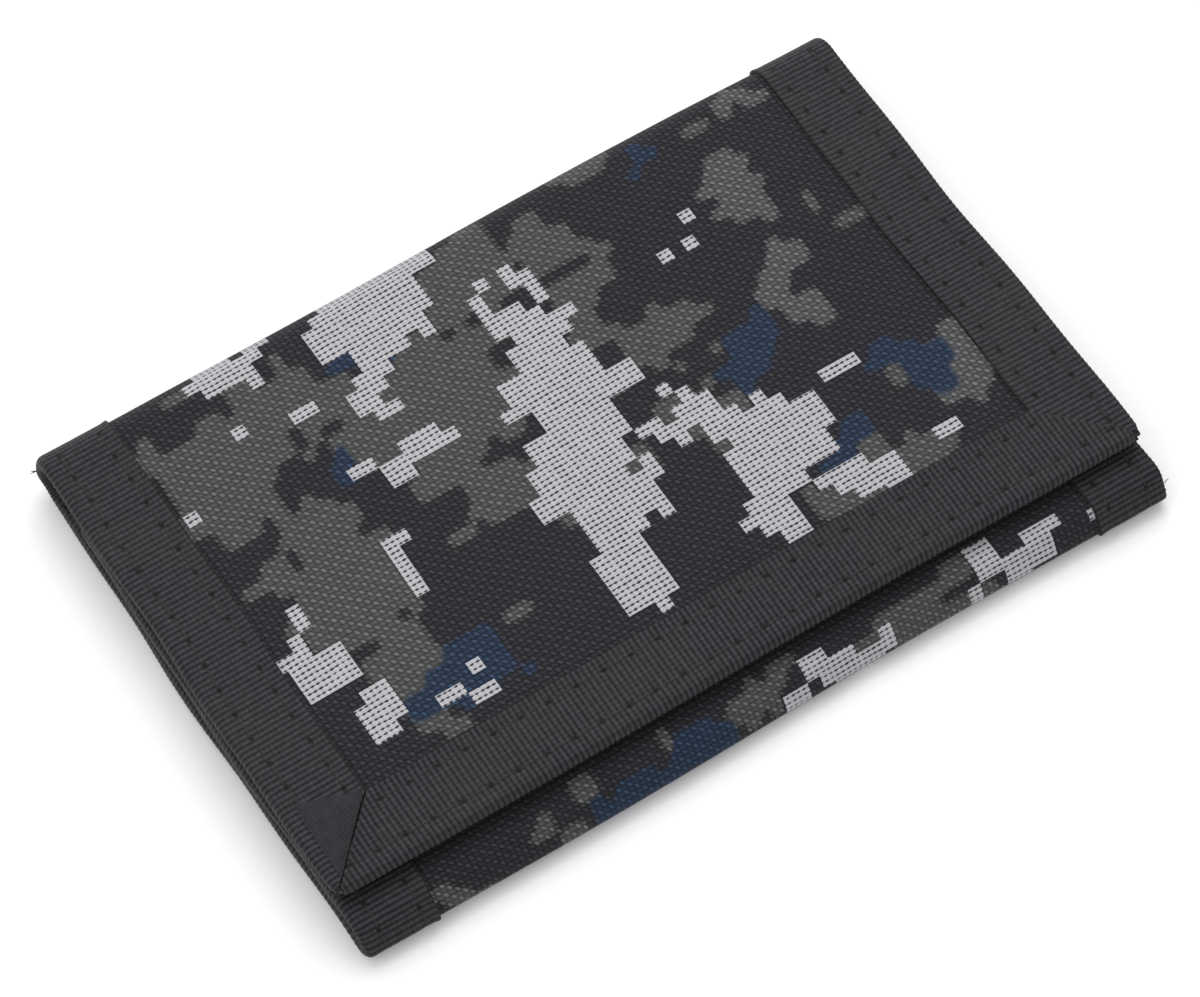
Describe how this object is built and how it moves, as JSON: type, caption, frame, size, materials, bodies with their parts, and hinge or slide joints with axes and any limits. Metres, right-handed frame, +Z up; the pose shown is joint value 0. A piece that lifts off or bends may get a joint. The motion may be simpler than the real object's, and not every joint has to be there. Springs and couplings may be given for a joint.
{
  "type": "trifold wallet",
  "caption": "Closed trifold wallet of woven polyester in a pixelated grey, black and off-white print, edged with black ribbed binding tape, with a hook-and-loop flap.",
  "frame": {"origin": "centre of the underside of the closed wallet", "axes": "+X along the folds, to the open side of the note pocket; +Y to the back fold; +Z up"},
  "size_m": [0.125, 0.084, 0.0096],
  "materials": {
    "printed_cloth": "matt woven polyester with a pixelated print",
    "binding_tape": "matt ribbed grosgrain",
    "lining_cloth": "matt plain weave",
    "hook_tape": "stiff nylon hooks",
    "loop_tape": "brushed loops",
    "clear_vinyl": "clear gloss",
    "zip_tape": "matt woven tape",
    "zip_coil": "satin",
    "zip_metal": "dark satin"
  },
  "bodies": {
    "base": {"base_binding_left": "binding_tape", "base_binding_right_inner": "binding_tape", "base_binding_right_outer": "binding_tape", "base_card_pocket_front": "lining_cloth", "base_card_pocket_rear": "lining_cloth", "base_note_divider": "lining_cloth", "base_shell": "printed_cloth"},
    "back_spine": {"back_spine_binding_left": "binding_tape", "back_spine_binding_right_inner": "binding_tape", "back_spine_binding_right_outer": "binding_tape", "back_spine_note_divider": "lining_cloth", "back_spine_shell": "printed_cloth"},
    "flap": {"flap_binding_front": "binding_tape", "flap_binding_left": "binding_tape", "flap_binding_right_inner": "binding_tape", "flap_binding_right_outer": "binding_tape", "flap_note_divider": "lining_cloth", "flap_shell": "printed_cloth", "hook_strip": "hook_tape"},
    "inner_panel": {"coin_pocket_sheet": "lining_cloth", "id_window_frame": "lining_cloth", "id_window_vinyl": "clear_vinyl", "inner_panel_binding_left": "binding_tape", "inner_panel_binding_rear": "binding_tape", "inner_panel_binding_right_inner": "binding_tape", "inner_panel_binding_right_outer": "binding_tape", "inner_panel_card_pocket": "lining_cloth", "inner_panel_note_divider": "lining_cloth", "inner_panel_shell_front": "printed_cloth", "inner_panel_shell_rear": "printed_cloth", "loop_strip": "loop_tape", "zip_bottom_stop": "zip_metal", "zip_coil_front": "zip_coil", "zip_coil_rear": "zip_coil", "zip_tape_front": "zip_tape", "zip_tape_rear": "zip_tape", "zip_top_stop": "zip_metal"},
    "zip_slider": {"zip_slider": "zip_metal", "zip_pull_tab": "binding_tape"}
  },
  "joints": [
    {"name": "spine_fold", "type": "hinge", "parent": "base", "child": "back_spine", "pos_m": [0, 0.0411, 0.0009], "axis": [-1, 0, 0], "range_deg": [0, 90]},
    {"name": "flap_fold", "type": "hinge", "parent": "back_spine", "child": "flap", "pos_m": [0, 0.0411, 0.00871], "axis": [-1, 0, 0], "range_deg": [0, 90]},
    {"name": "inner_fold", "type": "hinge", "parent": "base", "child": "inner_panel", "pos_m": [0, -0.04107, 0.00539], "axis": [1, 0, 0], "range_deg": [0, 22.5]},
    {"name": "zip_slide", "type": "slide", "parent": "inner_panel", "child": "zip_slider", "axis": [-1, 0, 0], "range_m": [0, 0.08972]}
  ],
  "couplings": [
    {"joint": "flap_fold", "follows": "spine_fold", "ratio": 1},
    {"joint": "inner_fold", "follows": "spine_fold", "ratio": 0.25}
  ]
}
